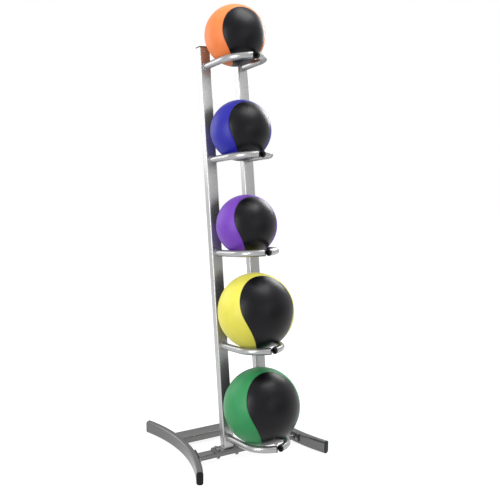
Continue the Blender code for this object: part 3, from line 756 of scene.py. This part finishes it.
def groovedShell(rows, radius):  # the skin dips where it nears the seam
    directions = np.array([[tuple(way) for way in row] for row in rows])
    nearest = np.arccos(np.clip(directions @ seamArray.T, -1, 1)).min(axis=2) * radius
    share = np.clip(nearest / ballPlan["grooveWidth"], 0, 1)
    return directions * (radius - ballPlan["grooveDepth"] * (1 - share) ** 2)[..., None]


def makePanel(name, radius, place, start, flip, material, body, node):
    rows = panelRows(radius, start, flip)
    width = len(rows[0])
    bm = bmesh.new()
    skin = [[bm.verts.new(place @ Vector(point)) for point in row] for row in groovedShell(rows, radius)]
    lining = [[bm.verts.new(place @ (way * (radius - ballPlan["wall"]))) for way in row] for row in rows]
    for sheet in (skin, lining):
        for first, second in zip(sheet, sheet[1:]):
            for i in range(width - 1):
                bm.faces.new((first[i], first[i + 1], second[i + 1], second[i]))
    for i in range(len(rows) - 1):
        for edge in (0, width - 1):
            bm.faces.new((skin[i][edge], skin[i + 1][edge], lining[i + 1][edge], lining[i][edge]))
    bmesh.ops.remove_doubles(bm, verts=bm.verts, dist=2e-6)
    bmesh.ops.dissolve_degenerate(bm, edges=bm.edges, dist=1e-6)
    newPiece(name, bm, material, body=body, replaced=[node], sharp=60)


blackRubber = ballRubber("black moulded rubber", ballPlan["blackBase"], ballPlan["blackLighter"], {
    **rubberLook, "rough": ballPlan["blackRough"], "specular": ballPlan["blackSpecular"]})
for tier, ball in enumerate(balls, 1):
    centre = facePoint(topArm - tierPitch * (tier - 1)) + Vector((0, -ball["ahead"], ball["up"]))
    turn = [math.radians(angle) for angle in ball["turn"]]
    place = (
        Matrix.Translation(centre) @ Matrix.Rotation(turn[2], 4, "Z")
        @ Matrix.Rotation(turn[1], 4, "Y") @ Matrix.Rotation(turn[0], 4, "X")
    )
    skin = ballRubber(ball["finish"] + " moulded rubber", ball["base"], ball["lighter"], rubberLook)
    body = f"ball_{tier}"
    makePanel(f"ball_cover_{tier}_black", ball["radius"], place, -math.pi / 2, (-1, 1), blackRubber, body,
              f"ball_{tier}_black_panel")
    makePanel(f"ball_cover_{tier}_color", ball["radius"], place, 0, (1, -1), skin, body,
              f"ball_{tier}_color_panel")
print("balls done")


studio = {
    "floor": 6.0, "floorDrop": 0.0005, "floorColor": "8c8c8c", "glow": 0.88,
    "skyFrom": -0.3, "skyTo": 0.9, "skyLow": 0.24, "skyHigh": 0.9,
}

floorMesh = bpy.data.meshes.new("studio floor")
reach = studio["floor"]
corners = [(-reach, -reach, 0), (reach, -reach, 0), (reach, reach, 0), (-reach, reach, 0)]
floorMesh.from_pydata(corners, [], [(0, 1, 2, 3)])
floor = bpy.data.objects.new("studio_floor", floorMesh)
floor.location.z = -studio["floorDrop"]
scene.collection.objects.link(floor)

floorPaint = bpy.data.materials.new("matt white studio floor")
floorPaint.use_nodes = True
tree = floorPaint.node_tree
tree.nodes.clear()
rays = addNode(tree, "ShaderNodeLightPath")  # the camera and reflections see it white, with the shadow
matt = addNode(tree, "ShaderNodeBsdfDiffuse", {"Color": hexColor(studio["floorColor"])})
sharpRay = addNode(tree, "ShaderNodeMath", {
    0: rays.outputs["Is Glossy Ray"], 1: rays.outputs["Is Transmission Ray"]}, operation="MAXIMUM")
shown = addNode(tree, "ShaderNodeMath", {
    0: rays.outputs["Is Camera Ray"], 1: sharpRay.outputs[0]}, operation="MAXIMUM")
seen = addNode(tree, "ShaderNodeMath", {0: shown.outputs[0], 1: studio["glow"]}, operation="MULTIPLY")
glow = addNode(tree, "ShaderNodeEmission", {"Color": (1, 1, 1, 1), "Strength": seen.outputs[0]})
both = addNode(tree, "ShaderNodeAddShader", {0: matt.outputs[0], 1: glow.outputs[0]})
addNode(tree, "ShaderNodeOutputMaterial", {"Surface": both.outputs[0]})
floorMesh.materials.append(floorPaint)

# The air lights softly from above, and the camera and reflections see it white
world = bpy.data.worlds.new("studio air")
world.use_nodes = True
scene.world = world
tree = world.node_tree
tree.nodes.clear()
rays = addNode(tree, "ShaderNodeLightPath")
way = addNode(tree, "ShaderNodeTexCoord").outputs["Generated"]
height = addNode(tree, "ShaderNodeSeparateXYZ", {"Vector": way}).outputs["Z"]
ramp = addNode(tree, "ShaderNodeMapRange", {
    "Value": height, "From Min": studio["skyFrom"], "From Max": studio["skyTo"],
    "To Min": studio["skyLow"], "To Max": studio["skyHigh"]})
sharpRay = addNode(tree, "ShaderNodeMath", {
    0: rays.outputs["Is Glossy Ray"], 1: rays.outputs["Is Transmission Ray"]}, operation="MAXIMUM")
shown = addNode(tree, "ShaderNodeMath", {
    0: rays.outputs["Is Camera Ray"], 1: sharpRay.outputs[0]}, operation="MAXIMUM")
seen = addNode(tree, "ShaderNodeMix", {0: shown.outputs[0], 2: ramp.outputs["Result"], 3: 1.0},
               data_type="FLOAT")
back = addNode(tree, "ShaderNodeBackground", {"Color": (1, 1, 1, 1), "Strength": seen.outputs[0]})
addNode(tree, "ShaderNodeOutputWorld", {"Surface": back.outputs[0]})


def softBox(name, spot, aim, size, power):
    lamp = bpy.data.lights.new(name, "AREA")
    lamp.shape = "RECTANGLE"
    lamp.size, lamp.size_y = size
    lamp.energy = power
    holder = bpy.data.objects.new(name, lamp)
    holder.location = spot
    holder.rotation_euler = (Vector(aim) - Vector(spot)).to_track_quat("-Z", "Y").to_euler()
    scene.collection.objects.link(holder)


def gradedCard(name, spot, width, height, low, high):  # only reflections see it, darker at its foot
    mesh = bpy.data.meshes.new(name)
    half = width / 2
    mesh.from_pydata([(-half, 0, 0), (half, 0, 0), (half, 0, height), (-half, 0, height)], [],
                     [(0, 1, 2, 3)])
    card = bpy.data.objects.new(name, mesh)
    card.location = spot
    card.rotation_euler.z = math.atan2(spot[1], spot[0]) + quarterTurn
    for ray in ("camera", "diffuse", "shadow", "transmission", "volume_scatter"):
        setattr(card, "visible_" + ray, False)
    scene.collection.objects.link(card)
    paint = bpy.data.materials.new(name + " paper")
    paint.use_nodes = True
    paint.node_tree.nodes.clear()
    place = addNode(paint.node_tree, "ShaderNodeTexCoord").outputs["Object"]
    level = addNode(paint.node_tree, "ShaderNodeSeparateXYZ", {"Vector": place}).outputs["Z"]
    grade = addNode(paint.node_tree, "ShaderNodeMapRange", {
        "Value": level, "From Max": height, "To Min": low, "To Max": high})
    shine = addNode(paint.node_tree, "ShaderNodeEmission", {"Strength": grade.outputs["Result"]})
    addNode(paint.node_tree, "ShaderNodeOutputMaterial", {"Surface": shine.outputs[0]})
    mesh.materials.append(paint)


cards = (
    {"name": "front_card", "spot": (1.45, -2.6, 0.0), "width": 2.6, "height": 1.7, "low": 0.55, "high": 0.84},
    {"name": "rear_card", "spot": (1.1, 2.0, 0.0), "width": 3.2, "height": 1.5, "low": 0.1, "high": 1.0},
)
lamps = (
    {"name": "rear left", "spot": (-1.7, 2.7, 1.6), "aim": (0, 0, 1.0), "size": (1.5, 1.6), "power": 17},
    {"name": "rear right", "spot": (2.5, 1.35, 2.1), "aim": (0, -0.1, 0.7), "size": (1.2, 1.3), "power": 40},
    {"name": "left window", "spot": (-2.9, -0.7, 1.35), "aim": (0, 0, 0.9), "size": (1.0, 2.4), "power": 54},
    {"name": "overhead", "spot": (0.6, -0.5, 3.3), "aim": (0, -0.1, 0.8), "size": (1.5, 1.5), "power": 50},
    {"name": "front fill", "spot": (0.6, -3.4, 1.6), "aim": (0, 0, 0.7), "size": (2.0, 1.6), "power": 14},
)
for card in cards:
    gradedCard(**card)
for lamp in lamps:
    softBox(**lamp)

view = {  # angles in degrees, lens and sensor in millimetres
    "spot": (-1.3565, -2.4043, 1.2937), "turn": 29.41, "down": 7.82, "roll": 0.46,
    "lens": 55.35, "sensor": 36, "shift": -0.07,
}
lens = bpy.data.cameras.new("photo camera")
lens.sensor_width = view["sensor"]
lens.lens = view["lens"]
lens.shift_y = view["shift"]
camera = bpy.data.objects.new("photo_camera", lens)
camera.matrix_world = (
    Matrix.Translation(Vector(view["spot"]) + Vector((0, rackShift, 0)))
    @ Matrix.Rotation(-math.radians(view["turn"]), 4, "Z")
    @ Matrix.Rotation(math.radians(90 - view["down"]), 4, "X")
    @ Matrix.Rotation(math.radians(view["roll"]), 4, "Z")
)
scene.collection.objects.link(camera)
scene.camera = camera
scene.view_settings.view_transform = "Standard"
print("studio done")
